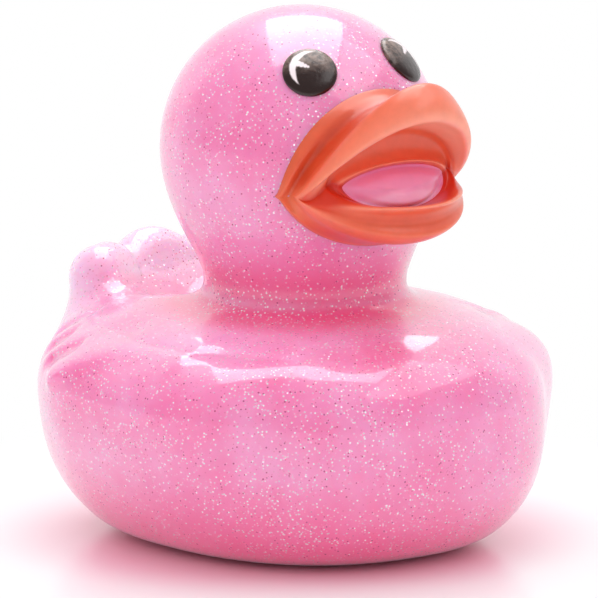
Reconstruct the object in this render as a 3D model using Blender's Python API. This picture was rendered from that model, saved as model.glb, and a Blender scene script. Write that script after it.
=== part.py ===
"""Rubber duck: one rotocast vinyl shell with a painted open bill and painted domed eyes.

The duck faces -Y, +X is its left and +Z is up. It rests on Z = 0 with its middle over the origin.
Its skin is a blend of simple forms: torso, neck, head, tail and wings. Plain spheres are
joined, remeshed and pulled onto that blend. The bill and the eyes are then joined to it, and the
hollow inside and the vent hole in the base are cut out.
"""
import bpy
import bmesh
import numpy as np
from math import cos, pi, radians, sin
from mathutils import Matrix, Vector

MM = 0.001

# Shell
WALL = 2.0 * MM
VENT_DIAMETER = 7.0 * MM
BASE_EDGE = 3.0 * MM
BASE_FLAT_BAND = 0.02 * MM

# Torso, with full shoulders and a flat base
TORSO_HALF_LENGTH = 39.5 * MM
TORSO_HALF_WIDTH = 33.0 * MM
TORSO_WAIST_HEIGHT = 20.5 * MM
SHOULDER_HEIGHT = 37.2 * MM
BASE_DEPTH = 24.5 * MM
PLAN_POWER = 2.3
PROFILE_POWER = 2.7

# Head and neck
HEAD_RADIUS = 21.0 * MM
HEAD_HEIGHT = 59.3 * MM
HEAD_FORWARD = 1.2 * MM
NECK_RADIUS = 13.6 * MM
NECK_FORWARD = 3.0 * MM
NECK_FILLET = 5.0 * MM
JAW_FILLET = 9.0 * MM

# Tail: one upturned leaf with three lobes along its rim, behind a hollow back
TAIL_HEIGHT = 41.5 * MM
TAIL_REACH = 35.0 * MM
TAIL_LOBE_SPACING = 11.5 * MM
TAIL_RIM_RADIUS = 4.8 * MM
TAIL_ROOT_RADIUS = 9.0 * MM
TAIL_ROOT_REACH = 27.0 * MM
TAIL_ROOT_HEIGHT = 21.0 * MM
TAIL_SCALLOP_DEPTH = 2.0 * MM
TAIL_SIDE_DROP = 1.1 * MM
TAIL_SIDE_CURL = 2.3 * MM
TAIL_FILLET = 5.0 * MM
SADDLE_REACH = 19.0 * MM
SADDLE_HEIGHT = 43.0 * MM
SADDLE_HALF_WIDTH = 13.0 * MM
SADDLE_HALF_LENGTH = 12.5 * MM
SADDLE_DEPTH = 13.0 * MM
SADDLE_FILLET = 5.0 * MM

# Wings: a pillow on each flank, a rolled ridge over it and three feather notches behind
WING_PROUD = 4.6 * MM
WING_FRONT = (16.0 * MM, 29.0 * MM)
WING_REAR = (-38.0 * MM, -10.0 * MM)
WING_TOP = 32.5 * MM
WING_MIDDLE = 17.0 * MM
WING_FADE = (3.0 * MM, 27.0 * MM)
WING_SHOULDER = 14.0 * MM
RIDGE_PROUD = 1.1 * MM
RIDGE_WIDTH = 2.0 * MM
NOTCH_DEPTH = 1.0 * MM
NOTCH_WIDTH = 1.5 * MM

# Bill
BILL_HALF_WIDTH = 15.2 * MM
BILL_LENGTH = 13.0 * MM
BILL_RISE = 13.8 * MM
BILL_DROP = 12.0 * MM
BILL_SEGMENTS = 48
BILL_STEPS = 1

# Eyes: low domes on the face
EYE_DIAMETER = 8.2 * MM
EYE_PROUD = 1.1 * MM
EYE_TURN = radians(33.0)
EYE_LIFT = radians(41.5)

# Mesh fineness
VOXEL = 0.7 * MM
SKIN_TRIANGLES = 6400
CAVITY_TRIANGLES = 1800
PULL_STEPS = 16
PULL_STRIDE = 1.5 * MM
GRADIENT_STEP = 0.02 * MM


def clear_scene():
    for item in list(bpy.data.objects):
        bpy.data.objects.remove(item, do_unlink=True)


def paint(name, colour, roughness):
    material = bpy.data.materials.new(name)
    material.use_nodes = True
    shader = material.node_tree.nodes["Principled BSDF"]
    shader.inputs["Base Color"].default_value = (*colour, 1.0)
    shader.inputs["Roughness"].default_value = roughness
    return material


# The skin as a field: negative inside, zero on the surface and about a distance near it

def blend(first, second, fillet):
    near = np.maximum(fillet - np.abs(first - second), 0.0) / fillet
    return np.minimum(first, second) - near * near * fillet / 4.0


def carve(solid, cutter, fillet):
    return -blend(-solid, cutter, fillet)


def rounded_form(points, centre, radii, plan_power, profile_power):
    offset = points - np.array(centre)
    share = np.abs(offset) / np.array(radii)
    plan = (share[:, 0] ** plan_power + share[:, 1] ** plan_power) ** (1.0 / plan_power)
    size = (plan ** profile_power + share[:, 2] ** profile_power) ** (1.0 / profile_power)
    reach = np.linalg.norm(offset, axis=1)
    return reach * (1.0 - 1.0 / np.maximum(size, 1e-6))


def tapered_rod(points, start, end, start_radius, end_radius):
    start = np.array(start)
    run = np.array(end) - start
    share = np.clip((points - start) @ run / (run @ run), 0.0, 1.0)
    distance = np.linalg.norm(points - start - share[:, None] * run, axis=1)
    return distance - start_radius - share * (end_radius - start_radius)


def torso(points):
    middle = (0.0, 0.0, TORSO_WAIST_HEIGHT)
    upper = (TORSO_HALF_WIDTH, TORSO_HALF_LENGTH, SHOULDER_HEIGHT - TORSO_WAIST_HEIGHT)
    lower = (TORSO_HALF_WIDTH, TORSO_HALF_LENGTH, BASE_DEPTH)
    above = rounded_form(points, middle, upper, PLAN_POWER, PROFILE_POWER)
    below = rounded_form(points, middle, lower, PLAN_POWER, PROFILE_POWER)
    return np.where(points[:, 2] > TORSO_WAIST_HEIGHT, above, below)


def tail(points):
    """Works on one side: the sideways coordinate is already positive."""
    across = np.minimum(points[:, 0] / TAIL_LOBE_SPACING, 1.0)
    beyond = np.maximum(points[:, 0] - TAIL_LOBE_SPACING, 0.0)
    notch = TAIL_SCALLOP_DEPTH * (2.0 * np.abs(across - np.round(across))) ** 2
    rise = TAIL_HEIGHT - TAIL_RIM_RADIUS - TAIL_SIDE_DROP * across ** 2 - notch - TAIL_ROOT_HEIGHT
    run = TAIL_REACH - TAIL_SIDE_CURL * across ** 2 - TAIL_ROOT_REACH
    back = points[:, 1] - TAIL_ROOT_REACH
    up = points[:, 2] - TAIL_ROOT_HEIGHT
    share = np.clip((back * run + up * rise) / (run * run + rise * rise), 0.0, 1.0)
    distance = np.sqrt(beyond ** 2 + (back - share * run) ** 2 + (up - share * rise) ** 2)
    return distance - TAIL_ROOT_RADIUS - share * (TAIL_RIM_RADIUS - TAIL_ROOT_RADIUS)


def skin(points):
    """The duck without its bill and eyes; both sides are alike, so one formula serves both."""
    points = np.stack([np.abs(points[:, 0]), points[:, 1], points[:, 2]], axis=1)
    solid = blend(torso(points), tail(points), TAIL_FILLET)
    saddle = rounded_form(points, (0.0, SADDLE_REACH, SADDLE_HEIGHT),
                          (SADDLE_HALF_WIDTH, SADDLE_HALF_LENGTH, SADDLE_DEPTH), 2.0, 2.0)
    solid = carve(solid, saddle, SADDLE_FILLET)
    neck = tapered_rod(points, (0.0, -NECK_FORWARD, TORSO_WAIST_HEIGHT), (0.0, -NECK_FORWARD, HEAD_HEIGHT),
                       NECK_RADIUS, NECK_RADIUS)
    solid = blend(solid, neck, NECK_FILLET)
    head = np.linalg.norm(points - np.array([0.0, -HEAD_FORWARD, HEAD_HEIGHT]), axis=1) - HEAD_RADIUS
    solid = blend(solid, head, JAW_FILLET)
    solid = solid - wing_relief(points)
    return carve(solid, points[:, 2], BASE_EDGE)


# Wings. A line is a list of points (forward, up) as shares of the torso's half length and height

RIDGE_LINE = [(0.26, 0.875), (0.10, 0.885), (-0.05, 0.865), (-0.22, 0.785), (-0.34, 0.71)]
NOTCHES = [
    [(-0.70, 0.785), (-0.60, 0.86)],
    [(-0.58, 0.765), (-0.50, 0.82)],
    [(-0.47, 0.735), (-0.34, 0.81)],
]


def step(value, low, high):
    share = np.clip((value - low) / (high - low), 0.0, 1.0)
    return share * share * (3.0 - 2.0 * share)


def stroke(forward, up, line, width):
    """One on a line drawn on the flank, falling to nothing a few widths away from it."""
    here = np.stack([forward, up], axis=1)
    unit = np.array([TORSO_HALF_LENGTH, SHOULDER_HEIGHT])
    nearest = np.full(len(forward), TORSO_HALF_LENGTH)
    for start, end in zip(line, line[1:]):
        start = np.array(start) * unit
        run = np.array(end) * unit - start
        share = np.clip((here - start) @ run / (run @ run), 0.0, 1.0)
        nearest = np.minimum(nearest, np.linalg.norm(here - start - share[:, None] * run, axis=1))
    return np.exp(-(nearest / width) ** 2)


def wing_relief(points):
    forward = -points[:, 1]
    up = points[:, 2]
    flank = step(points[:, 0], WING_SHOULDER - 3.0 * MM, WING_SHOULDER + 3.0 * MM)
    rise = np.maximum(up - WING_MIDDLE, 0.0) / (WING_TOP - WING_MIDDLE)
    pillow = WING_PROUD * np.maximum(1.0 - rise ** 4.0, 0.0) ** 0.8
    pillow *= step(up, *WING_FADE) * step(forward, *WING_REAR) * (1.0 - step(forward, *WING_FRONT))
    ridge = stroke(forward, up, RIDGE_LINE, RIDGE_WIDTH)
    notches = sum(stroke(forward, up, line, NOTCH_WIDTH) for line in NOTCHES)
    return flank * (pillow + RIDGE_PROUD * ridge - NOTCH_DEPTH * notches)


def pull_to_skin(points, depth):
    """Moves points onto the surface that lies depth inside the skin."""
    axes = np.eye(3) * GRADIENT_STEP
    for _ in range(PULL_STEPS):
        value = np.clip(skin(points) + depth, -PULL_STRIDE, PULL_STRIDE)
        slope = np.stack([skin(points + axis) - skin(points - axis) for axis in axes], axis=1)
        slope /= 2.0 * GRADIENT_STEP
        steep = np.maximum((slope * slope).sum(axis=1), 0.2)
        points = points - (value / steep)[:, None] * slope
    return points


# Mesh tools

def object_from(bm, name, material=None):
    mesh = bpy.data.meshes.new(name)
    bm.to_mesh(mesh)
    bm.free()
    if material:
        mesh.materials.append(material)
    item = bpy.data.objects.new(name, mesh)
    bpy.context.scene.collection.objects.link(item)
    return item


def apply_modifiers(item):
    graph = bpy.context.evaluated_depsgraph_get()
    mesh = bpy.data.meshes.new_from_object(item.evaluated_get(graph))
    item.modifiers.clear()
    item.data = mesh


def remesh(item, voxel):
    modifier = item.modifiers.new("even_mesh", "REMESH")
    modifier.mode = "VOXEL"
    modifier.voxel_size = voxel
    apply_modifiers(item)


def decimate(item, triangles):
    item.data.calc_loop_triangles()
    modifier = item.modifiers.new("fewer_faces", "DECIMATE")
    modifier.ratio = min(1.0, triangles / len(item.data.loop_triangles))
    apply_modifiers(item)


def boolean(item, other, operation):
    modifier = item.modifiers.new(operation.lower(), "BOOLEAN")
    modifier.operation = operation
    modifier.object = other
    modifier.solver = "EXACT"
    modifier.material_mode = "TRANSFER"
    apply_modifiers(item)
    bpy.data.objects.remove(other, do_unlink=True)


def pull(item, depth):
    mesh = item.data
    points = np.empty(len(mesh.vertices) * 3)
    mesh.vertices.foreach_get("co", points)
    points = pull_to_skin(points.reshape(-1, 3), depth)
    mesh.vertices.foreach_set("co", points.ravel())
    mesh.update()


def rough_forms():
    """Plain spheres that stand about where the torso, neck, head and tail are."""
    bm = bmesh.new()

    def sphere(centre, radii):
        place = Matrix.Translation(centre) @ Matrix.Diagonal((*radii, 1.0))
        bmesh.ops.create_uvsphere(bm, u_segments=32, v_segments=20, radius=1.0, matrix=place)

    half_height = 0.5 * SHOULDER_HEIGHT
    sphere((0.0, 0.0, half_height), (TORSO_HALF_WIDTH, TORSO_HALF_LENGTH, half_height))
    sphere((0.0, -NECK_FORWARD, 0.5 * (SHOULDER_HEIGHT + HEAD_HEIGHT)),
           (NECK_RADIUS, NECK_RADIUS, 0.5 * HEAD_HEIGHT))
    sphere((0.0, -HEAD_FORWARD, HEAD_HEIGHT), (HEAD_RADIUS, HEAD_RADIUS, HEAD_RADIUS))
    sphere((0.0, TAIL_REACH - 0.5 * TAIL_SIDE_CURL, 0.68 * TAIL_HEIGHT),
           (TAIL_LOBE_SPACING + TAIL_RIM_RADIUS, TAIL_RIM_RADIUS, 0.3 * TAIL_HEIGHT))
    return object_from(bm, "rough_forms")


def pulled_surface(depth, triangles):
    """A closed mesh of the surface that lies depth inside the skin."""
    item = rough_forms()
    for voxel in (1.5 * VOXEL, VOXEL):
        remesh(item, voxel)
        pull(item, depth)
    decimate(item, triangles)
    return item


# Bill: rings that run from a root inside the head, over the rim and into the open mouth

class Ring:
    """A closed ring round the mouth, through a corner on each side and a middle above and below.

    Forward is in bill lengths from the face, sideways in bill half widths, and up in bill rises
    or, below the corner, drops. The powers bend the ring: 1 is an arc of an ellipse, more is a
    sharper middle. The lean lifts the right half of the upper lip and drops the left. A ring with
    a lay is pulled onto the head, that far inside its skin.
    """

    def __init__(self, wide, corner, above, below, plan=1.0, arch=1.0, lean=0.0, lay=None):
        self.wide = wide
        self.corner = corner
        self.above = above
        self.below = below
        self.plan = plan
        self.arch = arch
        self.lean = lean
        self.lay = lay

    def points(self, turns):
        lift = np.abs(np.sin(turns))
        upper = np.sin(turns) > 0.0
        middle_forward = np.where(upper, self.above[0], self.below[0])
        middle_up = np.where(upper, self.above[1] * BILL_RISE, self.below[1] * BILL_DROP)
        arch = np.where(upper, self.arch, 1.0)
        low = self.corner[1] * BILL_DROP
        forward = self.corner[0] + (middle_forward - self.corner[0]) * lift ** self.plan
        up = low + (middle_up - low) * lift ** arch
        up = up - np.where(upper, self.lean * BILL_RISE * np.sin(2.0 * turns), 0.0)
        points = np.stack([self.wide * BILL_HALF_WIDTH * np.cos(turns),
                           -HEAD_FORWARD - HEAD_RADIUS - forward * BILL_LENGTH, HEAD_HEIGHT + up], axis=1)
        return points if self.lay is None else pull_to_skin(points, self.lay)


BILL_RINGS = [
    Ring(0.86, (-0.92, -0.30), (-0.62, 0.62), (-0.58, -0.78), 1.0, 1.2),
    Ring(1.02, (-0.58, -0.32), (-0.30, 0.775), (-0.28, -0.98), 0.6, 1.05, 0.0, 0.3 * MM),
    Ring(1.015, (-0.56, -0.32), (-0.28, 0.765), (-0.27, -0.98), 0.6, 1.05, 0.0, -0.1 * MM),
    Ring(0.99, (-0.53, -0.315), (-0.15, 0.735), (-0.18, -0.98), 0.7, 1.2, 0.0, -0.8 * MM),
    Ring(0.94, (-0.44, -0.31), (0.05, 0.71), (0.03, -0.97), 1.4, 1.5),
    Ring(0.925, (-0.37, -0.305), (0.36, 0.82), (0.26, -0.93), 1.3, 1.5),
    Ring(0.94, (-0.33, -0.30), (0.62, 0.99), (0.50, -0.89), 1.15, 1.5),
    Ring(0.95, (-0.29, -0.30), (0.80, 0.90), (0.69, -0.77), 1.1, 1.45, 0.02),
    Ring(0.945, (-0.24, -0.315), (0.91, 0.74), (0.63, -0.62), 1.1, 1.4, 0.03),
    Ring(0.93, (-0.19, -0.335), (0.87, 0.61), (0.69, -0.49), 1.3, 1.4, 0.04),
    Ring(0.90, (-0.13, -0.335), (0.66, 0.55), (0.79, -0.39), 1.4, 1.35, 0.04),
    Ring(0.85, (-0.06, -0.28), (0.42, 0.49), (0.74, -0.37), 1.4, 1.3, 0.03),
    Ring(0.78, (0.00, -0.17), (0.19, 0.42), (0.60, -0.41), 1.3, 1.1, 0.0),
    Ring(0.745, (-0.02, -0.14), (0.10, 0.35), (0.50, -0.44), 1.3, 1.1, 0.0),
    Ring(0.715, (0.00, -0.12), (0.08, 0.19), (0.43, -0.46), 1.3, 1.15, 0.0),
    Ring(0.69, (0.05, -0.12), (0.15, 0.09), (0.39, -0.47), 1.2, 1.2, 0.0),
    Ring(0.66, (0.08, -0.14), (0.20, 0.07), (0.37, -0.475), 1.2, 1.2, 0.0),
    Ring(0.62, (0.08, -0.17), (0.15, 0.03), (0.35, -0.475), 1.2, 1.2, 0.0),
]
TONGUE_RINGS = [
    Ring(0.57, (0.12, -0.19), (0.14, 0.00), (0.35, -0.46), 2.0, 1.1),
    Ring(0.42, (0.24, -0.21), (0.24, -0.06), (0.42, -0.39), 2.0),
    Ring(0.20, (0.32, -0.22), (0.31, -0.15), (0.40, -0.30), 2.0),
]


def smooth_rings(rings, turns, steps):
    """Rings of points on smooth curves that run through the same turn of every ring."""
    key = [ring.points(turns) for ring in rings]
    last = len(key) - 1
    rows = [key[0]]
    for number in range(last):
        before, start, end, after = [key[min(max(number + shift, 0), last)] for shift in (-1, 0, 1, 2)]
        gap = np.linalg.norm(end - start, axis=1)

        def eased(tangent):
            size = np.linalg.norm(tangent, axis=1)
            return tangent * np.minimum(1.0, gap / np.maximum(size, 1e-9))[:, None]

        leaving = eased(0.5 * (end - before))
        arriving = eased(0.5 * (after - start))
        bend = 3.0 * (end - start) - 2.0 * leaving - arriving
        swing = 2.0 * (start - end) + leaving + arriving
        for place in range(1, steps + 1):
            share = place / steps
            rows.append(start + share * (leaving + share * (bend + share * swing)))
    return rows


def bill(paint_orange, paint_pink):
    turns = 2.0 * pi * np.arange(BILL_SEGMENTS) / BILL_SEGMENTS
    rows = smooth_rings(BILL_RINGS + TONGUE_RINGS, turns, BILL_STEPS)
    bm = bmesh.new()
    verts = bmesh.ops.create_circle(bm, cap_ends=True, segments=BILL_SEGMENTS, radius=1.0)["verts"]
    for vert, point in zip(verts, rows[0]):
        vert.co = point
    edges = list(bm.edges)
    for number, row in enumerate(rows[1:], 1):
        grown = bmesh.ops.extrude_edge_only(bm, edges=edges)["geom"]
        verts = [part for part in grown if isinstance(part, bmesh.types.BMVert)]
        edges = [part for part in grown if isinstance(part, bmesh.types.BMEdge)]
        for vert, point in zip(verts, row):
            vert.co = point
        for face in grown:
            if isinstance(face, bmesh.types.BMFace) and number > BILL_STEPS * (len(BILL_RINGS) - 1):
                face.material_index = 1
    tongue_tip = bmesh.ops.contextual_create(bm, geom=edges)["faces"]
    tongue_tip[0].material_index = 1
    bmesh.ops.poke(bm, faces=tongue_tip)
    bmesh.ops.recalc_face_normals(bm, faces=bm.faces)
    item = object_from(bm, "bill", paint_orange)
    item.data.materials.append(paint_pink)
    return item


def eye(side, material):
    outward = Vector((side * sin(EYE_TURN) * cos(EYE_LIFT), -cos(EYE_TURN) * cos(EYE_LIFT), sin(EYE_LIFT)))
    centre = Vector((0.0, -HEAD_FORWARD, HEAD_HEIGHT)) + HEAD_RADIUS * outward
    place = Matrix.Translation(centre) @ outward.to_track_quat("Z", "Y").to_matrix().to_4x4()
    place = place @ Matrix.Diagonal((0.5 * EYE_DIAMETER, 0.5 * EYE_DIAMETER, EYE_PROUD, 1.0))
    bm = bmesh.new()
    bmesh.ops.create_uvsphere(bm, u_segments=28, v_segments=12, radius=1.0, matrix=place)
    return object_from(bm, "eye", material)


def vent():
    bm = bmesh.new()
    bmesh.ops.create_cone(bm, cap_ends=True, segments=32, radius1=0.5 * VENT_DIAMETER,
                          radius2=0.5 * VENT_DIAMETER, depth=4.0 * WALL)
    return object_from(bm, "vent")


def stand(item):
    """Lays the base flat on Z = 0 and brings the middle of the duck's length over the origin."""
    mesh = item.data
    ends = [vert.co.y for vert in mesh.vertices]
    mesh.transform(Matrix.Translation((0.0, -0.5 * (min(ends) + max(ends)), 0.0)))
    for vert in mesh.vertices:
        if abs(vert.co.z) < BASE_FLAT_BAND:
            vert.co.z = 0.0


def main():
    clear_scene()
    vinyl = paint("glitter_vinyl", (0.95, 0.24, 0.48), 0.2)
    orange = paint("bill_paint", (0.85, 0.14, 0.06), 0.3)
    pink = paint("mouth_paint", (0.90, 0.20, 0.35), 0.35)
    black = paint("eye_paint", (0.02, 0.01, 0.01), 0.15)

    duck = pulled_surface(0.0, SKIN_TRIANGLES)
    duck.name = "duck"
    duck.data.materials.append(vinyl)
    boolean(duck, bill(orange, pink), "UNION")
    for side in (-1.0, 1.0):
        boolean(duck, eye(side, black), "UNION")
    boolean(duck, pulled_surface(WALL, CAVITY_TRIANGLES), "DIFFERENCE")
    stand(duck)
    boolean(duck, vent(), "DIFFERENCE")
    duck.data.shade_smooth()
    duck.data.set_sharp_from_angle(angle=radians(40.0))


if __name__ == "__main__":
    main()
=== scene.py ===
"""Rubber duck of translucent pink glitter vinyl, with a painted bill, tongue and eyes.

The duck faces -Y, +X is its left and +Z is up. Its skin is a blend of simple forms, written as a
field that is negative inside. Plain spheres are joined, remeshed and pulled onto that field.
"""
from math import cos, pi, radians, sin

import bmesh
import bpy
import numpy as np
from mathutils import Matrix, Vector


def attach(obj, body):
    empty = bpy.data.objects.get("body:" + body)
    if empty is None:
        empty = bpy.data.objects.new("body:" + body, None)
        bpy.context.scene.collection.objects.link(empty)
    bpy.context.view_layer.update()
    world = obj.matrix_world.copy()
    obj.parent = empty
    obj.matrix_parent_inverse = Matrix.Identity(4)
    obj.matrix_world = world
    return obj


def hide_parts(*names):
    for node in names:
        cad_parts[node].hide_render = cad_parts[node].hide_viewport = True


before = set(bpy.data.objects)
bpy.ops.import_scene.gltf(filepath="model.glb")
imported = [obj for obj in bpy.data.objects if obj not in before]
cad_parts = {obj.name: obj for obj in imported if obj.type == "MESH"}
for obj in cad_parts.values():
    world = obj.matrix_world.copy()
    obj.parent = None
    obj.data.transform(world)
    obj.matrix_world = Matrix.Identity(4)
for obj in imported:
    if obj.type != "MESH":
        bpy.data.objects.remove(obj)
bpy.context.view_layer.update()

MM = 0.001

# Torso, with full shoulders, a flat base and a vent in it
BASE_EDGE = 3.0 * MM
TORSO_HALF_LENGTH = 39.5 * MM
TORSO_HALF_WIDTH = 33.0 * MM
TORSO_WAIST_HEIGHT = 20.5 * MM
SHOULDER_HEIGHT = 37.2 * MM
BASE_DEPTH = 24.5 * MM
PLAN_POWER = 2.3
PROFILE_POWER = 2.7
VENT_DIAMETER = 7.0 * MM
WALL = 2.0 * MM

# Head and neck
HEAD_RADIUS = 21.0 * MM
HEAD_HEIGHT = 59.3 * MM
HEAD_FORWARD = 1.2 * MM
NECK_RADIUS = 13.6 * MM
NECK_FORWARD = 3.0 * MM
NECK_FILLET = 5.0 * MM
JAW_FILLET = 9.0 * MM

# Tail: one upturned leaf with three lobes along its rim, behind a hollow back
TAIL_HEIGHT = 41.5 * MM
TAIL_REACH = 35.0 * MM
TAIL_LOBE_SPACING = 11.5 * MM
TAIL_RIM_RADIUS = 4.8 * MM
TAIL_ROOT_RADIUS = 9.0 * MM
TAIL_ROOT_REACH = 27.0 * MM
TAIL_ROOT_HEIGHT = 21.0 * MM
TAIL_SCALLOP_DEPTH = 2.0 * MM
TAIL_SIDE_DROP = 1.1 * MM
TAIL_SIDE_CURL = 2.3 * MM
TAIL_FILLET = 5.0 * MM
SADDLE_REACH = 19.0 * MM
SADDLE_HEIGHT = 43.0 * MM
SADDLE_HALF_WIDTH = 13.0 * MM
SADDLE_HALF_LENGTH = 12.5 * MM
SADDLE_DEPTH = 13.0 * MM
SADDLE_FILLET = 5.0 * MM

# Wings: a pillow on each flank, a rolled ridge over it and three feather notches behind
WING_PROUD = 4.6 * MM
WING_FRONT = (16.0 * MM, 29.0 * MM)
WING_REAR = (-38.0 * MM, -10.0 * MM)
WING_TOP = 32.5 * MM
WING_MIDDLE = 17.0 * MM
WING_FADE = (3.0 * MM, 27.0 * MM)
WING_SHOULDER = 14.0 * MM
RIDGE_PROUD = 1.1 * MM
RIDGE_WIDTH = 2.0 * MM
NOTCH_DEPTH = 1.0 * MM
NOTCH_WIDTH = 1.0 * MM
RIDGE_LINE = [(0.26, 0.875), (0.10, 0.885), (-0.05, 0.865), (-0.22, 0.785), (-0.34, 0.71)]
NOTCHES = [
    [(-0.70, 0.785), (-0.60, 0.86)],
    [(-0.58, 0.765), (-0.50, 0.82)],
    [(-0.47, 0.735), (-0.34, 0.81)],
]

# Bill
BILL_HALF_WIDTH = 15.2 * MM
BILL_LENGTH = 13.0 * MM
BILL_RISE = 13.8 * MM
BILL_DROP = 12.0 * MM
BILL_SEGMENTS = 144
BILL_STEPS = 6

# Eyes
EYE_DIAMETER = 8.2 * MM
EYE_PROUD = 1.1 * MM
EYE_TURN = radians(33.0)
EYE_LIFT = radians(41.5)

# Mesh fineness
VOXEL = 0.55 * MM
PULL_STEPS = 12
PULL_STRIDE = 1.5 * MM
GRADIENT_STEP = 0.02 * MM
SKIN_SHARP_ANGLE = 50.0
PAINT_SHARP_ANGLE = 60.0

# Where the vinyl gets a pale painted glow or a deep painted shade: shares of a probe this long that
# goes in or out
PROBE = 7.0 * MM
THIN_BELOW = 0.8
THIN_SPAN = 0.5
CREASE_BELOW = 0.97
CREASE_GAIN = 2.2
# Painted shade towards the base, and the height below which there is no painted glow
BASE_SHADE = 0.8
BASE_SHADE_HEIGHT = 18.0 * MM
GLOW_FROM_HEIGHT = 1.5 * MM
# A pale painted glow in the tail
TAIL_GLOW = 0.8
TAIL_GLOW_REACH = (TAIL_ROOT_REACH - 4.0 * MM, TAIL_REACH)
TAIL_GLOW_HEIGHT = (26.0 * MM, 36.0 * MM)

# Glitter: the space between flakes, their radius and the share of places that hold one
SUNK_FLAKES = (0.55 * MM, 0.15 * MM, 0.8)
BARE_FLAKES = (0.52 * MM, 0.16 * MM)
BARE_SHARES = (0.45, 1.0)
# Colours of the bare flakes by a random tone: painted dark reflections at the low end, painted white
# glints at the high end
FLAKE_GLINT_TONES = [(0.0, "#C0507F"), (0.14, "#C85C8C"), (0.18, "#FFC2DE"), (0.55, "#FFD6EA"),
               (0.68, "#FFFFFF")]
FLAKE_TILT = 1.1

# Paint on the bill: colours at shares of the way from the face, over the rim, into the mouth.
# Besides the orange, the dark stops are painted shade in the groove behind the rim, under the upper
# lip, at the mouth's corners and inside it, and the light stops are painted light on the rim's front
# and the lips' ridges
UPPER_LIP = [
    (0.0, "#E4603A"), (0.15, "#E45C36"), (0.19, "#D4421C"), (0.25, "#D84620"), (0.31, "#EC6844"),
    (0.37, "#F47E60"), (0.43, "#FF9A80"), (0.50, "#FFA890"), (0.57, "#FF9C82"), (0.61, "#F67452"),
    (0.66, "#F06644"), (0.75, "#EE6646"), (0.79, "#F68C72"), (0.81, "#F27C62"), (0.85, "#E04840"),
]
LIP_CORNER = [
    (0.0, "#EA6844"), (0.20, "#EC6E48"), (0.30, "#F2785A"), (0.38, "#F27A5C"), (0.43, "#E0401C"),
    (0.50, "#DC3312"), (0.62, "#D92E10"), (0.85, "#D42C20"),
]
LOWER_LIP = [
    (0.0, "#E66040"), (0.15, "#E86442"), (0.21, "#DC4E2A"), (0.27, "#E05630"), (0.33, "#EE7252"),
    (0.38, "#EA6444"), (0.42, "#E25230"), (0.47, "#EC6644"), (0.51, "#F98E72"), (0.56, "#E8583A"),
    (0.61, "#DC3A20"), (0.85, "#D83426"),
]
# The tongue's deeper pink under the upper lip is painted shadow, and its pale stop low down is painted
# light where it faces up
UPPER_TONGUE = [(0.80, "#EE6C98"), (1.0, "#FA92BE")]
TONGUE_CORNER = [(0.80, "#F684AE"), (1.0, "#FB9AC4")]
LOWER_TONGUE = [(0.80, "#FA98BE"), (0.9, "#FFBCDA"), (1.0, "#FCA6CC")]

# Where the corner's colours take over from the lower lip's, and the upper lip's from them
CORNER_FADE = (0.12, 0.32)
UPPER_FADE = (0.5, 0.68)

# Eye mark, in eye radii: a disc with another cut away from it, and a spur of small discs
MARK_DISC = ((0.02, 0.05), 0.80)
MARK_CUT = ((0.46, -0.14), 1.02)
MARK_SPUR = [((-0.42, 0.26), 0.14), ((-0.30, 0.20), 0.13), ((-0.18, 0.14), 0.11), ((-0.08, 0.10), 0.08)]
MARK_EDGE = 0.05
MARK_WOBBLE = 0.10

# View: the photograph's angle and scale, from far off
CAMERA_REACH = 4.0
SENSOR_WIDTH = 36.0
PIXELS_A_METRE = 6690.0
IMAGE_WIDTH = 598.0
VIEW_TURN = radians(-38.0)
VIEW_LIFT = radians(11.0)
AIM_RIGHT = 0.6 * MM
AIM_UP = 35.1 * MM

# Floor and room
FLOOR_RADIUS = 3.0
FLOOR_GAP = 0.05 * MM
TINT_FADE = (0.030, 0.048)
WHITE_FADE = (0.042, 0.085)
FILL = 1.05
ROOM = 0.35
BACKDROP_EDGE = (0.3, 0.5)


# The skin as a field: negative inside, zero on the surface and about a distance near it

def blend(first, second, fillet):
    near = np.maximum(fillet - np.abs(first - second), 0.0) / fillet
    return np.minimum(first, second) - near * near * fillet / 4.0


def carve(solid, cutter, fillet):
    return -blend(-solid, cutter, fillet)


def rounded_form(points, centre, radii, plan_power, profile_power):
    offset = points - np.array(centre)
    share = np.abs(offset) / np.array(radii)
    plan = (share[:, 0] ** plan_power + share[:, 1] ** plan_power) ** (1.0 / plan_power)
    size = (plan ** profile_power + share[:, 2] ** profile_power) ** (1.0 / profile_power)
    reach = np.linalg.norm(offset, axis=1)
    return reach * (1.0 - 1.0 / np.maximum(size, 1e-6))


def tapered_rod(points, start, end, start_radius, end_radius):
    start = np.array(start)
    run = np.array(end) - start
    share = np.clip((points - start) @ run / (run @ run), 0.0, 1.0)
    distance = np.linalg.norm(points - start - share[:, None] * run, axis=1)
    return distance - start_radius - share * (end_radius - start_radius)


def torso(points):
    middle = (0.0, 0.0, TORSO_WAIST_HEIGHT)
    upper = (TORSO_HALF_WIDTH, TORSO_HALF_LENGTH, SHOULDER_HEIGHT - TORSO_WAIST_HEIGHT)
    lower = (TORSO_HALF_WIDTH, TORSO_HALF_LENGTH, BASE_DEPTH)
    above = rounded_form(points, middle, upper, PLAN_POWER, PROFILE_POWER)
    below = rounded_form(points, middle, lower, PLAN_POWER, PROFILE_POWER)
    return np.where(points[:, 2] > TORSO_WAIST_HEIGHT, above, below)


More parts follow.
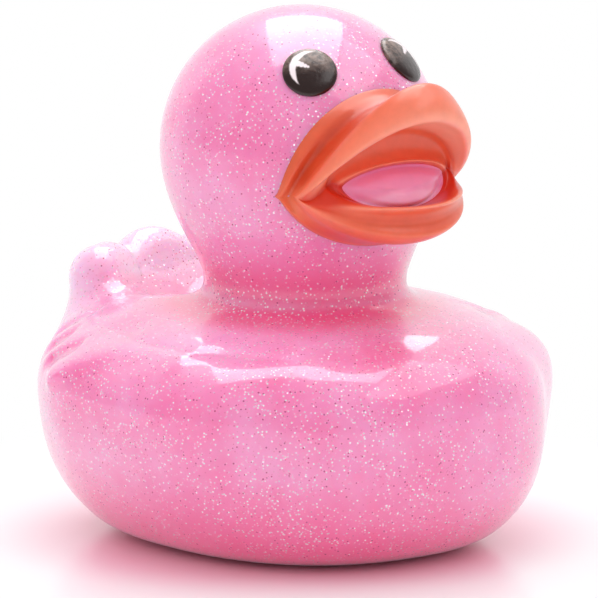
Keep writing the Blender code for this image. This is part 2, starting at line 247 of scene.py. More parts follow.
def tail(points):
    """Works on one side: the sideways coordinate is already positive."""
    across = np.minimum(points[:, 0] / TAIL_LOBE_SPACING, 1.0)
    beyond = np.maximum(points[:, 0] - TAIL_LOBE_SPACING, 0.0)
    notch = TAIL_SCALLOP_DEPTH * (2.0 * np.abs(across - np.round(across))) ** 2
    rise = TAIL_HEIGHT - TAIL_RIM_RADIUS - TAIL_SIDE_DROP * across ** 2 - notch - TAIL_ROOT_HEIGHT
    run = TAIL_REACH - TAIL_SIDE_CURL * across ** 2 - TAIL_ROOT_REACH
    back = points[:, 1] - TAIL_ROOT_REACH
    up = points[:, 2] - TAIL_ROOT_HEIGHT
    share = np.clip((back * run + up * rise) / (run * run + rise * rise), 0.0, 1.0)
    distance = np.sqrt(beyond ** 2 + (back - share * run) ** 2 + (up - share * rise) ** 2)
    return distance - TAIL_ROOT_RADIUS - share * (TAIL_RIM_RADIUS - TAIL_ROOT_RADIUS)


def step(value, low, high):
    share = np.clip((value - low) / (high - low), 0.0, 1.0)
    return share * share * (3.0 - 2.0 * share)


def stroke(forward, up, line, width):
    """One on a line drawn on the flank, falling to nothing a few widths away from it."""
    here = np.stack([forward, up], axis=1)
    unit = np.array([TORSO_HALF_LENGTH, SHOULDER_HEIGHT])
    nearest = np.full(len(forward), TORSO_HALF_LENGTH)
    for start, end in zip(line, line[1:]):
        start = np.array(start) * unit
        run = np.array(end) * unit - start
        share = np.clip((here - start) @ run / (run @ run), 0.0, 1.0)
        nearest = np.minimum(nearest, np.linalg.norm(here - start - share[:, None] * run, axis=1))
    return np.exp(-(nearest / width) ** 2)


def wing_relief(points):
    forward = -points[:, 1]
    up = points[:, 2]
    flank = step(points[:, 0], WING_SHOULDER - 3.0 * MM, WING_SHOULDER + 3.0 * MM)
    rise = np.maximum(up - WING_MIDDLE, 0.0) / (WING_TOP - WING_MIDDLE)
    pillow = WING_PROUD * np.maximum(1.0 - rise ** 4.0, 0.0) ** 0.8
    pillow *= step(up, *WING_FADE) * step(forward, *WING_REAR) * (1.0 - step(forward, *WING_FRONT))
    ridge = stroke(forward, up, RIDGE_LINE, RIDGE_WIDTH)
    notches = sum(stroke(forward, up, line, NOTCH_WIDTH) for line in NOTCHES)
    return flank * (pillow + RIDGE_PROUD * ridge - NOTCH_DEPTH * notches)


def skin(points):
    """The duck without its bill and eyes; both sides are alike, so one formula serves both."""
    points = np.stack([np.abs(points[:, 0]), points[:, 1], points[:, 2]], axis=1)
    solid = blend(torso(points), tail(points), TAIL_FILLET)
    saddle = rounded_form(points, (0.0, SADDLE_REACH, SADDLE_HEIGHT),
                          (SADDLE_HALF_WIDTH, SADDLE_HALF_LENGTH, SADDLE_DEPTH), 2.0, 2.0)
    solid = carve(solid, saddle, SADDLE_FILLET)
    neck = tapered_rod(points, (0.0, -NECK_FORWARD, TORSO_WAIST_HEIGHT),
                       (0.0, -NECK_FORWARD, HEAD_HEIGHT), NECK_RADIUS, NECK_RADIUS)
    solid = blend(solid, neck, NECK_FILLET)
    head = np.linalg.norm(points - np.array([0.0, -HEAD_FORWARD, HEAD_HEIGHT]), axis=1) - HEAD_RADIUS
    solid = blend(solid, head, JAW_FILLET)
    solid = solid - wing_relief(points)
    solid = carve(solid, points[:, 2], BASE_EDGE)
    vent = tapered_rod(points, (0.0, 0.0, -2.0 * WALL), (0.0, 0.0, 0.0), 0.5 * VENT_DIAMETER,
                       0.5 * VENT_DIAMETER)
    return carve(solid, vent, 0.5 * WALL)


def slope_of_skin(points):
    axes = np.eye(3) * GRADIENT_STEP
    slope = np.stack([skin(points + axis) - skin(points - axis) for axis in axes], axis=1)
    return slope / (2.0 * GRADIENT_STEP)


def pull_to_skin(points, depth, steps=PULL_STEPS):
    """Moves points onto the surface that lies depth inside the skin."""
    for _ in range(steps):
        value = np.clip(skin(points) + depth, -PULL_STRIDE, PULL_STRIDE)
        slope = slope_of_skin(points)
        steep = np.maximum((slope * slope).sum(axis=1), 0.2)
        points = points - (value / steep)[:, None] * slope
    return points


# Mesh tools

def object_from(bm, name, *materials):
    mesh = bpy.data.meshes.new(name)
    bm.to_mesh(mesh)
    bm.free()
    for material in materials:
        mesh.materials.append(material)
    item = bpy.data.objects.new(name, mesh)
    bpy.context.scene.collection.objects.link(item)
    return item


def apply_modifiers(item):
    graph = bpy.context.evaluated_depsgraph_get()
    mesh = bpy.data.meshes.new_from_object(item.evaluated_get(graph))
    item.modifiers.clear()
    item.data = mesh


def points_of(mesh):
    points = np.empty(len(mesh.vertices) * 3)
    mesh.vertices.foreach_get("co", points)
    return points.reshape(-1, 3)


def remesh_and_pull(item, voxel, steps):
    modifier = item.modifiers.new("even_mesh", "REMESH")
    modifier.mode = "VOXEL"
    modifier.voxel_size = voxel
    apply_modifiers(item)
    points = pull_to_skin(points_of(item.data), 0.0, steps)
    item.data.vertices.foreach_set("co", points.ravel())
    item.data.update()


def smooth(item, angle):
    item.data.shade_smooth()
    item.data.set_sharp_from_angle(angle=radians(angle))


# Materials

def linear(code):
    """An sRGB hex colour as linear red, green, blue and alpha."""
    values = [int(code[place:place + 2], 16) / 255.0 for place in (1, 3, 5)]
    values = [value / 12.92 if value <= 0.04045 else ((value + 0.055) / 1.055) ** 2.4
              for value in values]
    return (*values, 1.0)


def add(tree, kind, inputs=(), **settings):
    """Adds a node: settings are its properties, inputs are values or sockets for its sockets."""
    node = tree.nodes.new(kind)
    for name, value in settings.items():
        setattr(node, name, value)
    for name, value in dict(inputs).items():
        if isinstance(value, bpy.types.NodeSocket):
            tree.links.new(value, node.inputs[name])
        else:
            node.inputs[name].default_value = value
    return node


def new_material(name):
    material = bpy.data.materials.new(name)
    material.use_nodes = True
    return material, material.node_tree, material.node_tree.nodes["Principled BSDF"]


def set_shader(tree, shader, **sockets):
    for name, value in sockets.items():
        socket = shader.inputs[name.replace("_", " ")]
        if isinstance(value, bpy.types.NodeSocket):
            tree.links.new(value, socket)
        else:
            socket.default_value = value


def colour_ramp(tree, place, shades):
    """A ramp of hex colours; shades are (share, colour) pairs in rising order."""
    ramp = add(tree, "ShaderNodeValToRGB", {"Fac": place})
    stops = ramp.color_ramp.elements
    while len(stops) < len(shades):
        stops.new(0.5)
    for stop, (share, code) in zip(stops, shades):
        stop.position = share
        stop.color = linear(code)
    return ramp.outputs["Color"]


def flakes(tree, place, spacing, radius, share):
    """Small round spots: returns their mask, and a random colour and a random tone for each."""
    cells = add(tree, "ShaderNodeTexVoronoi", {"Vector": place, "Scale": 1.0 / spacing},
                voronoi_dimensions="3D", feature="F1")
    near = add(tree, "ShaderNodeMapRange", {"Value": cells.outputs["Distance"],
                                            "From Min": radius / spacing,
                                            "From Max": 0.7 * radius / spacing})
    pick = add(tree, "ShaderNodeSeparateColor", {"Color": cells.outputs["Color"]})
    chosen = add(tree, "ShaderNodeMath", {0: pick.outputs["Red"], 1: share}, operation="LESS_THAN")
    mask = add(tree, "ShaderNodeMath", {0: near.outputs["Result"], 1: chosen.outputs["Value"]},
               operation="MULTIPLY")
    return mask.outputs["Value"], cells.outputs["Color"], pick.outputs["Green"]


def glitter_vinyl():
    """Soft PVC, slush moulded, tinted clear pink and full of silver polyester glitter.

    Light goes in and comes back pink. Deeper pink is painted shade in creases and near the base, and
    paler pink is a painted glow at thin edges and in the tail. The moulded surface is glossy, with
    flakes about 0.3 mm wide at odd angles.
    """
    material, tree, shader = new_material("glitter_vinyl")
    place = add(tree, "ShaderNodeTexCoord").outputs["Object"]
    painted_glow = add(tree, "ShaderNodeAttribute", attribute_name="painted_glow").outputs["Fac"]
    painted_shade = add(tree, "ShaderNodeAttribute", attribute_name="painted_shade").outputs["Fac"]

    cloud = add(tree, "ShaderNodeTexNoise", {"Vector": place, "Scale": 75.0, "Detail": 3.0,
                                             "Roughness": 0.55})
    depth = add(tree, "ShaderNodeMapRange", {"Value": cloud.outputs["Fac"], "From Min": 0.22,
                                             "From Max": 0.76})
    body = add(tree, "ShaderNodeMix", {"Factor": depth.outputs["Result"], 6: linear("#FA6EAC"),
                                       7: linear("#FFA8D6")}, data_type="RGBA")
    # Painted shade in creases and near the base, then a pale painted glow at thin edges and in the tail
    deep = add(tree, "ShaderNodeMix", {"Factor": painted_shade, 6: body.outputs[2], 7: linear("#F65C94")},
               data_type="RGBA")
    pale = add(tree, "ShaderNodeMix", {"Factor": painted_glow, 6: deep.outputs[2], 7: linear("#FFDCF4")},
               data_type="RGBA")

    # Flakes deep in the wall only tint it
    sunk, _, sunk_tone = flakes(tree, place, *SUNK_FLAKES)
    sunk_shade = add(tree, "ShaderNodeMix", {"Factor": sunk_tone, 6: linear("#D93C78"),
                                             7: linear("#FFD0E8")}, data_type="RGBA")
    sunk_half = add(tree, "ShaderNodeMath", {0: sunk, 1: 0.55}, operation="MULTIPLY")
    tinted = add(tree, "ShaderNodeMix", {"Factor": sunk_half.outputs[0], 6: pale.outputs[2],
                                         7: sunk_shade.outputs[2]}, data_type="RGBA")

    # Flakes at the surface are bare silver, each tilted its own way, and lie in clouds; their colours,
    # from dark pink to white at random, are painted dark reflections and painted glints
    drift = add(tree, "ShaderNodeTexNoise", {"Vector": place, "Scale": 110.0, "Detail": 2.0})
    share = add(tree, "ShaderNodeMapRange", {"Value": drift.outputs["Fac"], "From Min": 0.38,
                                             "From Max": 0.62, "To Min": BARE_SHARES[0],
                                             "To Max": BARE_SHARES[1]})
    bare, bare_colour, bare_tone = flakes(tree, place, *BARE_FLAKES, share.outputs["Result"])
    glint_colour = colour_ramp(tree, bare_tone, FLAKE_GLINT_TONES)
    colour = add(tree, "ShaderNodeMix", {"Factor": bare, 6: tinted.outputs[2], 7: glint_colour},
                 data_type="RGBA")
    metal = add(tree, "ShaderNodeMath", {0: bare, 1: 0.15}, operation="MULTIPLY")
    soft = add(tree, "ShaderNodeMapRange", {"Value": bare, "To Min": 0.85, "To Max": 0.0})
    tilt = add(tree, "ShaderNodeVectorMath", {0: bare_colour, 1: (0.5, 0.5, 0.5)}, operation="SUBTRACT")
    amount = add(tree, "ShaderNodeMath", {0: bare, 1: FLAKE_TILT}, operation="MULTIPLY")
    lean = add(tree, "ShaderNodeVectorMath", {0: tilt.outputs[0], "Scale": amount.outputs[0]},
               operation="SCALE")
    facing = add(tree, "ShaderNodeNewGeometry").outputs["Normal"]
    leaning = add(tree, "ShaderNodeVectorMath", {0: facing, 1: lean.outputs[0]}, operation="ADD")
    turned = add(tree, "ShaderNodeVectorMath", {0: leaning.outputs[0]}, operation="NORMALIZE")
    rough = add(tree, "ShaderNodeMapRange", {"Value": bare, "To Min": 0.32, "To Max": 0.18})

    set_shader(tree, shader, Base_Color=colour.outputs[2], Metallic=metal.outputs[0],
               Roughness=rough.outputs[0], Normal=turned.outputs[0], IOR=1.53,
               Subsurface_Weight=soft.outputs[0], Subsurface_Scale=3.0 * MM, Coat_Weight=1.0,
               Coat_Roughness=0.07, Coat_IOR=1.55, Sheen_Weight=0.4, Sheen_Roughness=0.35)
    shader.inputs["Sheen Tint"].default_value = linear("#FFE0F4")
    shader.inputs["Subsurface Radius"].default_value = (1.0, 0.35, 0.55)
    return material


def sprayed(name, upper, corner, lower, low, high):
    """Satin paint, sprayed through a mask: a little mottled, with painted shade in the grooves and
    painted light on the rims and ridges.

    The three lists of colours are for the upper half, the corners and the lower half of the mouth.
    """
    material, tree, shader = new_material(name)
    place = add(tree, "ShaderNodeTexCoord").outputs["Object"]
    along = add(tree, "ShaderNodeUVMap", uv_map="along").outputs["UV"]
    where = add(tree, "ShaderNodeSeparateXYZ", {0: along})
    # The ramps hold painted shade and painted light as well as the paint's own colour
    paint = colour_ramp(tree, where.outputs["Y"], lower)
    for shades, (start, end) in ((corner, CORNER_FADE), (upper, UPPER_FADE)):
        share = add(tree, "ShaderNodeMapRange", {"Value": where.outputs["X"], "From Min": start,
                                                 "From Max": end}, interpolation_type="SMOOTHSTEP")
        paint = add(tree, "ShaderNodeMix", {"Factor": share.outputs["Result"], 6: paint,
                                            7: colour_ramp(tree, where.outputs["Y"], shades)},
                    data_type="RGBA").outputs[2]
    spray = add(tree, "ShaderNodeTexNoise", {"Vector": place, "Scale": 420.0, "Detail": 4.0,
                                             "Roughness": 0.6})
    mottle = add(tree, "ShaderNodeMapRange", {"Value": spray.outputs["Fac"], "From Min": 0.3,
                                              "From Max": 0.7, "To Min": low, "To Max": high})
    colour = add(tree, "ShaderNodeHueSaturation", {"Color": paint, "Value": mottle.outputs["Result"]})
    orange_peel = add(tree, "ShaderNodeTexNoise", {"Vector": place, "Scale": 900.0, "Detail": 2.0})
    bump = add(tree, "ShaderNodeBump", {"Height": orange_peel.outputs["Fac"], "Strength": 0.25,
                                        "Distance": 0.03 * MM})
    set_shader(tree, shader, Base_Color=colour.outputs["Color"], Roughness=0.36, IOR=1.48,
               Normal=bump.outputs["Normal"], Coat_Weight=0.35, Coat_Roughness=0.14,
               Subsurface_Weight=0.4, Subsurface_Scale=1.5 * MM)
    shader.inputs["Subsurface Radius"].default_value = (1.0, 0.3, 0.15)
    return material


def eye_paint():
    """Thick enamel, brushed on: glossy near black, with brown streaks towards the top that are a
    painted reflection of the lamp above, and a white mark.
    """
    material, tree, shader = new_material("eye_paint")
    place = add(tree, "ShaderNodeTexCoord").outputs["Object"]
    local = add(tree, "ShaderNodeUVMap", uv_map="dome").outputs["UV"]
    wobble = add(tree, "ShaderNodeTexNoise", {"Vector": place, "Scale": 700.0, "Detail": 3.0})
    shift = add(tree, "ShaderNodeVectorMath", {0: wobble.outputs["Color"], 1: (0.5, 0.5, 0.5)},
                operation="SUBTRACT")
    small = add(tree, "ShaderNodeVectorMath", {0: shift.outputs[0], "Scale": MARK_WOBBLE},
                operation="SCALE")
    rough_local = add(tree, "ShaderNodeVectorMath", {0: local, 1: small.outputs[0]}, operation="ADD")

    def disc(centre, radius):
        """One inside a disc on the eye, as seen from in front of it."""
        gap = add(tree, "ShaderNodeVectorMath", {0: rough_local.outputs[0], 1: (*centre, 0.0)},
                  operation="SUBTRACT")
        flat = add(tree, "ShaderNodeVectorMath", {0: gap.outputs[0], 1: (1.0, 1.0, 0.0)},
                   operation="MULTIPLY")
        far = add(tree, "ShaderNodeVectorMath", {0: flat.outputs[0]}, operation="LENGTH")
        return add(tree, "ShaderNodeMapRange", {"Value": far.outputs["Value"], "From Min": radius,
                                                "From Max": radius - MARK_EDGE}).outputs["Result"]

    left = add(tree, "ShaderNodeMath", {0: 1.0, 1: disc(*MARK_CUT)}, operation="SUBTRACT")
    moon = add(tree, "ShaderNodeMath", {0: disc(*MARK_DISC), 1: left.outputs[0]}, operation="MULTIPLY")
    mark = moon.outputs[0]
    for centre, radius in MARK_SPUR:
        joined = add(tree, "ShaderNodeMath", {0: mark, 1: disc(centre, radius)}, operation="MAXIMUM")
        mark = joined.outputs[0]
    brushed = add(tree, "ShaderNodeTexNoise", {"Vector": place, "Scale": 1100.0, "Detail": 3.0,
                                               "Roughness": 0.6})
    height = add(tree, "ShaderNodeSeparateXYZ", {0: local})
    top = add(tree, "ShaderNodeMapRange", {"Value": height.outputs["Y"], "From Min": -0.2,
                                           "From Max": 0.9})
    strokes = add(tree, "ShaderNodeMapRange", {"Value": brushed.outputs["Fac"], "From Min": 0.38,
                                               "From Max": 0.62, "To Min": 0.1})
    lamp_reflection_streaks = add(tree, "ShaderNodeMath", {0: top.outputs["Result"], 1: strokes.outputs["Result"]},
                 operation="MULTIPLY")
    # Brown streaks towards the top: a painted reflection of the lamp above, shaped by the brushed
    # texture
    black = add(tree, "ShaderNodeMix", {"Factor": lamp_reflection_streaks.outputs[0], 6: linear("#260C0A"),
                                        7: linear("#A08478")}, data_type="RGBA")
    colour = add(tree, "ShaderNodeMix", {"Factor": mark, 6: black.outputs[2], 7: linear("#FBEBF0")},
                 data_type="RGBA")
    bump = add(tree, "ShaderNodeBump", {"Height": brushed.outputs["Fac"], "Strength": 0.7,
                                        "Distance": 0.12 * MM})
    set_shader(tree, shader, Base_Color=colour.outputs[2], Roughness=0.25, IOR=1.52,
               Normal=bump.outputs["Normal"], Coat_Weight=0.3, Coat_Roughness=0.08)
    return material


# Skin

def rough_forms():
    """Plain spheres that stand about where the torso, neck, head and tail are."""
    bm = bmesh.new()

    def sphere(centre, radii):
        place = Matrix.Translation(centre) @ Matrix.Diagonal((*radii, 1.0))
        bmesh.ops.create_uvsphere(bm, u_segments=32, v_segments=20, radius=1.0, matrix=place)

    half_height = 0.5 * SHOULDER_HEIGHT
    sphere((0.0, 0.0, half_height), (TORSO_HALF_WIDTH, TORSO_HALF_LENGTH, half_height))
    sphere((0.0, -NECK_FORWARD, 0.5 * (SHOULDER_HEIGHT + HEAD_HEIGHT)),
           (NECK_RADIUS, NECK_RADIUS, 0.5 * HEAD_HEIGHT))
    sphere((0.0, -HEAD_FORWARD, HEAD_HEIGHT), (HEAD_RADIUS, HEAD_RADIUS, HEAD_RADIUS))
    sphere((0.0, TAIL_REACH - 0.5 * TAIL_SIDE_CURL, 0.68 * TAIL_HEIGHT),
           (TAIL_LOBE_SPACING + TAIL_RIM_RADIUS, TAIL_RIM_RADIUS, 0.3 * TAIL_HEIGHT))
    return object_from(bm, "skin")


def note_painted_light(mesh):
    """Writes a painted glow at thin walls and in the tail, and painted shade in creases and near the
    base, each from 0 to 1.
    """
    points = points_of(mesh)
    slope = slope_of_skin(points)
    outward = slope / np.maximum(np.linalg.norm(slope, axis=1), 1e-6)[:, None]
    inside = -skin(points - PROBE * outward) / PROBE
    outside = skin(points + PROBE * outward) / PROBE
    # A pale painted glow where the wall is thin, none on the base itself, and more in the tail
    painted_glow = np.clip((THIN_BELOW - inside) / THIN_SPAN, 0.0, 1.0) * (points[:, 2] > GLOW_FROM_HEIGHT)
    in_tail = step(points[:, 1], *TAIL_GLOW_REACH) * step(points[:, 2], *TAIL_GLOW_HEIGHT)
    painted_glow = np.maximum(painted_glow, TAIL_GLOW * in_tail)
    # Painted shade in creases and towards the base, less where the painted glow is
    painted_shade = np.clip(CREASE_GAIN * (CREASE_BELOW - outside), 0.0, 1.0)
    low = 1.0 - step(points[:, 2], 0.0, BASE_SHADE_HEIGHT)
    painted_shade = np.maximum(painted_shade, BASE_SHADE * low) * (1.0 - painted_glow)
    for name, values in (("painted_glow", painted_glow), ("painted_shade", painted_shade)):
        layer = mesh.attributes.new(name, "FLOAT", "POINT")
        layer.data.foreach_set("value", values.astype(np.float32))


def make_skin(material):
    item = rough_forms()
    remesh_and_pull(item, 2.0 * VOXEL, 16)
    remesh_and_pull(item, VOXEL, 8)
    note_painted_light(item.data)
    item.data.materials.clear()
    item.data.materials.append(material)
    smooth(item, SKIN_SHARP_ANGLE)
    return item


# Bill

class Ring:
    """A closed ring round the mouth, through a corner on each side and a middle above and below.

    Forward is in bill lengths from the face, sideways in bill half widths, and up in bill rises
    or, below the corner, drops. The powers bend the ring: 1 is an arc of an ellipse, more is a
    sharper middle. The lean lifts the right half of the upper lip and drops the left. A ring with
    a lay is pulled onto the head, that far inside its skin.
    """

    def __init__(self, wide, corner, above, below, plan=1.0, arch=1.0, lean=0.0, lay=None):
        self.wide = wide
        self.corner = corner
        self.above = above
        self.below = below
        self.plan = plan
        self.arch = arch
        self.lean = lean
        self.lay = lay

    def points(self, turns):
        lift = np.abs(np.sin(turns))
        upper = np.sin(turns) > 0.0
        middle_forward = np.where(upper, self.above[0], self.below[0])
        middle_up = np.where(upper, self.above[1] * BILL_RISE, self.below[1] * BILL_DROP)
        arch = np.where(upper, self.arch, 1.0)
        low = self.corner[1] * BILL_DROP
        forward = self.corner[0] + (middle_forward - self.corner[0]) * lift ** self.plan
        up = low + (middle_up - low) * lift ** arch
        up = up - np.where(upper, self.lean * BILL_RISE * np.sin(2.0 * turns), 0.0)
        points = np.stack([self.wide * BILL_HALF_WIDTH * np.cos(turns),
                           -HEAD_FORWARD - HEAD_RADIUS - forward * BILL_LENGTH,
                           HEAD_HEIGHT + up], axis=1)
        return points if self.lay is None else pull_to_skin(points, self.lay)


BILL_RINGS = [
    Ring(0.86, (-0.92, -0.30), (-0.62, 0.62), (-0.58, -0.78), 1.0, 1.2),
    Ring(1.02, (-0.58, -0.32), (-0.30, 0.775), (-0.28, -0.98), 0.6, 1.05, 0.0, 0.3 * MM),
    Ring(1.015, (-0.56, -0.32), (-0.28, 0.765), (-0.27, -0.98), 0.6, 1.05, 0.0, -0.1 * MM),
    Ring(0.99, (-0.53, -0.315), (-0.15, 0.735), (-0.18, -0.98), 0.7, 1.2, 0.0, -0.8 * MM),
    Ring(0.94, (-0.44, -0.31), (0.05, 0.71), (0.03, -0.97), 1.4, 1.5),
    Ring(0.925, (-0.37, -0.305), (0.36, 0.82), (0.26, -0.93), 1.3, 1.5),
    Ring(0.94, (-0.33, -0.30), (0.62, 0.99), (0.50, -0.89), 1.15, 1.5),
    Ring(0.95, (-0.29, -0.30), (0.80, 0.90), (0.69, -0.77), 1.1, 1.45, 0.02),
    Ring(0.945, (-0.24, -0.315), (0.91, 0.74), (0.63, -0.62), 1.1, 1.4, 0.03),
    Ring(0.93, (-0.19, -0.335), (0.87, 0.61), (0.69, -0.49), 1.3, 1.4, 0.04),
    Ring(0.90, (-0.13, -0.335), (0.66, 0.55), (0.79, -0.39), 1.4, 1.35, 0.04),
    Ring(0.85, (-0.06, -0.28), (0.42, 0.49), (0.74, -0.37), 1.4, 1.3, 0.03),
    Ring(0.78, (0.00, -0.17), (0.19, 0.42), (0.60, -0.41), 1.3, 1.1, 0.0),
    Ring(0.745, (-0.02, -0.14), (0.10, 0.35), (0.50, -0.44), 1.3, 1.1, 0.0),
    Ring(0.715, (0.00, -0.12), (0.08, 0.19), (0.43, -0.46), 1.3, 1.15, 0.0),
    Ring(0.69, (0.05, -0.12), (0.15, 0.09), (0.39, -0.47), 1.2, 1.2, 0.0),
    Ring(0.66, (0.08, -0.14), (0.20, 0.07), (0.37, -0.475), 1.2, 1.2, 0.0),
    Ring(0.62, (0.08, -0.17), (0.15, 0.03), (0.35, -0.475), 1.2, 1.2, 0.0),
]
TONGUE_RINGS = [
    Ring(0.57, (0.12, -0.19), (0.14, 0.00), (0.35, -0.46), 2.0, 1.1),
    Ring(0.42, (0.24, -0.21), (0.24, -0.06), (0.42, -0.39), 2.0),
    Ring(0.20, (0.32, -0.22), (0.31, -0.15), (0.40, -0.30), 2.0),
]


def smooth_rings(rings, turns, steps):
    """Rings of points on smooth curves that run through the same turn of every ring."""
    key = [ring.points(turns) for ring in rings]
    last = len(key) - 1
    rows = [key[0]]
    for number in range(last):
        before, start, end, after = [key[min(max(number + shift, 0), last)] for shift in (-1, 0, 1, 2)]
        gap = np.linalg.norm(end - start, axis=1)

        def eased(tangent):
            size = np.linalg.norm(tangent, axis=1)
            return tangent * np.minimum(1.0, gap / np.maximum(size, 1e-9))[:, None]

        leaving = eased(0.5 * (end - before))
        arriving = eased(0.5 * (after - start))
        bend = 3.0 * (end - start) - 2.0 * leaving - arriving
        swing = 2.0 * (start - end) + leaving + arriving
        for place in range(1, steps + 1):
            share = place / steps
            rows.append(start + share * (leaving + share * (bend + share * swing)))
    return rows


def make_bill(orange, pink):
    rings = BILL_RINGS + TONGUE_RINGS
    turns = 2.0 * pi * np.arange(BILL_SEGMENTS) / BILL_SEGMENTS
    rows = smooth_rings(rings, turns, BILL_STEPS)
    bm = bmesh.new()
    height = bm.verts.layers.float.new("row")
    share_up = bm.verts.layers.float.new("share_up")
    verts = bmesh.ops.create_circle(bm, cap_ends=True, segments=BILL_SEGMENTS, radius=1.0)["verts"]
    for vert, point in zip(verts, rows[0]):
        vert.co = point
    edges = list(bm.edges)
    for number, row in enumerate(rows[1:], 1):
        grown = bmesh.ops.extrude_edge_only(bm, edges=edges)["geom"]
        verts = [part for part in grown if isinstance(part, bmesh.types.BMVert)]
        edges = [part for part in grown if isinstance(part, bmesh.types.BMEdge)]
        for vert, point, turn in zip(verts, row, turns):
            vert.co = point
            vert[height] = number / (len(rows) - 1)
            vert[share_up] = 0.5 + 0.5 * sin(turn)
        for face in grown:
            if isinstance(face, bmesh.types.BMFace) and number > BILL_STEPS * (len(BILL_RINGS) - 1):
                face.material_index = 1
    tip = bmesh.ops.contextual_create(bm, geom=edges)["faces"]
    tip[0].material_index = 1
    centre = bmesh.ops.poke(bm, faces=tip)["verts"]
    centre[0][height] = 1.0
    centre[0][share_up] = 0.5
    along = bm.loops.layers.uv.new("along")
    for face in bm.faces:
        for loop in face.loops:
            loop[along].uv = (loop.vert[share_up], loop.vert[height])
    bmesh.ops.recalc_face_normals(bm, faces=bm.faces)
    item = object_from(bm, "bill", orange, pink)
    smooth(item, PAINT_SHARP_ANGLE)
    return item


# Eyes

def make_eye(name, side, material):
    level = cos(EYE_LIFT)
    outward = Vector((side * sin(EYE_TURN) * level, -cos(EYE_TURN) * level, sin(EYE_LIFT)))
    upward = Vector((0.0, 0.0, 1.0))
    across = upward.cross(outward).normalized()
    upward = outward.cross(across)
    turn = Matrix((across, upward, outward)).transposed().to_4x4()
    centre = Vector((0.0, -HEAD_FORWARD, HEAD_HEIGHT)) + HEAD_RADIUS * outward
    bm = bmesh.new()
    bmesh.ops.create_uvsphere(bm, u_segments=64, v_segments=32, radius=1.0)
    dome = bm.loops.layers.uv.new("dome")
    for face in bm.faces:
        for loop in face.loops:
            loop[dome].uv = (-side * loop.vert.co.x, loop.vert.co.y)
    size = Matrix.Diagonal((0.5 * EYE_DIAMETER, 0.5 * EYE_DIAMETER, EYE_PROUD, 1.0))
    bmesh.ops.transform(bm, matrix=Matrix.Translation(centre) @ turn @ size, verts=bm.verts)
    item = object_from(bm, name, material)
    smooth(item, PAINT_SHARP_ANGLE)
    return item


# Studio

towards_camera = Vector((sin(VIEW_TURN), -cos(VIEW_TURN), 0.0))
image_right = Vector((cos(VIEW_TURN), sin(VIEW_TURN), 0.0))


def soft_box(name, right, towards, height, size, radiance, shows_in_gloss):
    """A soft box that faces down, square to the view; a radiance of 1 is as bright as the white ground.

    One that shows in gloss is only seen reflected, and one that doesn't only lights.
    """
    data = bpy.data.lights.new(name, "AREA")
    data.shape = "RECTANGLE"
    data.size, data.size_y = size
    data.energy = radiance * pi * size[0] * size[1]
    item = bpy.data.objects.new(name, data)
    place = right * image_right + towards * towards_camera + Vector((0.0, 0.0, height))
    item.matrix_world = Matrix.Translation(place) @ Matrix.Rotation(VIEW_TURN, 4, "Z")
    item.visible_glossy = shows_in_gloss
    item.visible_diffuse = not shows_in_gloss
    bpy.context.scene.collection.objects.link(item)


def make_camera():
    """A long lens far off, at the photograph's angle and its scale at the duck."""
    data = bpy.data.cameras.new("camera")
    item = bpy.data.objects.new("camera", data)
    back = cos(VIEW_LIFT) * towards_camera + Vector((0.0, 0.0, sin(VIEW_LIFT)))
    aim = AIM_RIGHT * image_right + AIM_UP * back.cross(image_right)
    place = aim + CAMERA_REACH * back
    data.sensor_width = SENSOR_WIDTH
    data.lens = SENSOR_WIDTH * PIXELS_A_METRE * CAMERA_REACH / IMAGE_WIDTH
    item.matrix_world = Matrix.Translation(place) @ back.to_track_quat("Z", "Y").to_matrix().to_4x4()
    bpy.context.scene.collection.objects.link(item)
    bpy.context.scene.camera = item


def make_floor():
    """White acrylic sheet, a little glossy, that runs out to plain white.

    A pink tint painted close to the duck stands for light that passes through the pink vinyl.
    """
    bm = bmesh.new()
    bmesh.ops.create_circle(bm, cap_ends=True, segments=96, radius=FLOOR_RADIUS)
    material, tree, shader = new_material("white_acrylic")
    place = add(tree, "ShaderNodeTexCoord").outputs["Object"]
    far = add(tree, "ShaderNodeVectorMath", {0: place}, operation="LENGTH")
    out = add(tree, "ShaderNodeMapRange", {"Value": far.outputs["Value"], "From Min": WHITE_FADE[0],
                                           "From Max": WHITE_FADE[1]}, interpolation_type="SMOOTHSTEP")
    view = add(tree, "ShaderNodeLightPath")
    seen = add(tree, "ShaderNodeMath", {0: view.outputs["Is Camera Ray"],
                                        1: view.outputs["Is Glossy Ray"]}, operation="MAXIMUM")
    white = add(tree, "ShaderNodeMath", {0: out.outputs["Result"], 1: seen.outputs[0]},
                operation="MULTIPLY")
    # A painted pink glow on the floor close to the duck
    near = add(tree, "ShaderNodeMapRange", {"Value": far.outputs["Value"], "From Min": TINT_FADE[0],
                                            "From Max": TINT_FADE[1]}, interpolation_type="SMOOTHSTEP")
    lit = add(tree, "ShaderNodeMix", {"Factor": near.outputs["Result"], 6: linear("#FFDCE8"),
                                      7: linear("#FBF9FA")}, data_type="RGBA")
    set_shader(tree, shader, Base_Color=lit.outputs[2], Roughness=0.2, IOR=1.45)
    glow = add(tree, "ShaderNodeEmission", {"Color": (1.0, 1.0, 1.0, 1.0), "Strength": 1.0})
    mixed = add(tree, "ShaderNodeMixShader", {0: white.outputs[0], 1: shader.outputs[0],
                                              2: glow.outputs[0]})
    tree.links.new(mixed.outputs[0], tree.nodes["Material Output"].inputs["Surface"])
    item = object_from(bm, "floor", material)
    item.data.transform(Matrix.Translation((0.0, 0.0, -FLOOR_GAP)))


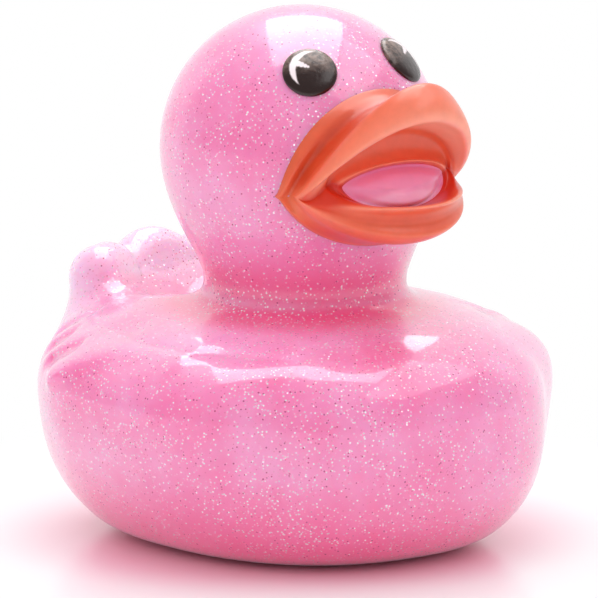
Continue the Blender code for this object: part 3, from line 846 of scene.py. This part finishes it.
def make_world():
    """White to the eye, an even fill on the duck, and a dim room in front of it for the gloss."""
    world = bpy.data.worlds.new("studio")
    bpy.context.scene.world = world
    world.use_nodes = True
    tree = world.node_tree
    sky = tree.nodes["Background"]
    direction = add(tree, "ShaderNodeTexCoord").outputs["Generated"]
    facing = add(tree, "ShaderNodeVectorMath", {0: direction, 1: tuple(-towards_camera)},
                 operation="DOT_PRODUCT")
    backdrop = add(tree, "ShaderNodeMapRange", {"Value": facing.outputs["Value"],
                                                "From Min": BACKDROP_EDGE[0],
                                                "From Max": BACKDROP_EDGE[1],
                                                "To Min": ROOM, "To Max": 1.0})
    view = add(tree, "ShaderNodeLightPath")
    fill = add(tree, "ShaderNodeMix", {"Factor": view.outputs["Is Glossy Ray"], "A": FILL,
                                       "B": backdrop.outputs["Result"]})
    shown = add(tree, "ShaderNodeMix", {"Factor": view.outputs["Is Camera Ray"], "A": fill.outputs[0],
                                        "B": 1.0})
    tree.links.new(shown.outputs[0], sky.inputs["Strength"])
    sky.inputs["Color"].default_value = (1.0, 1.0, 1.0, 1.0)


make_camera()
make_world()
make_floor()
soft_box("overhead_softbox", right=-0.05, towards=-0.30, height=0.66, size=(0.5, 0.9), radiance=0.9,
         shows_in_gloss=False)
soft_box("overhead_sheen", right=0.02, towards=-0.33, height=0.62, size=(0.42, 0.84), radiance=3.8,
         shows_in_gloss=True)
soft_box("side_sheen", right=0.42, towards=0.05, height=0.60, size=(0.36, 0.70), radiance=1.6,
         shows_in_gloss=True)

vinyl = glitter_vinyl()
orange = sprayed("bill_paint", UPPER_LIP, LIP_CORNER, LOWER_LIP, 0.95, 1.05)
pink = sprayed("tongue_paint", UPPER_TONGUE, TONGUE_CORNER, LOWER_TONGUE, 0.97, 1.03)
black = eye_paint()

duck = make_skin(vinyl)
bill = make_bill(orange, pink)
eyes = [make_eye("eye_right", -1.0, black), make_eye("eye_left", 1.0, black)]

# The duck stands with the middle of its length over the origin
ends = np.concatenate([points_of(duck.data)[:, 1], points_of(bill.data)[:, 1]])
centring = Matrix.Translation((0.0, -0.5 * (ends.min() + ends.max()), 0.0))
for item in (duck, bill, *eyes):
    item.data.transform(centring)
    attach(item, "root")
    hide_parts("duck")

view_settings = bpy.context.scene.view_settings
view_settings.view_transform = "Standard"
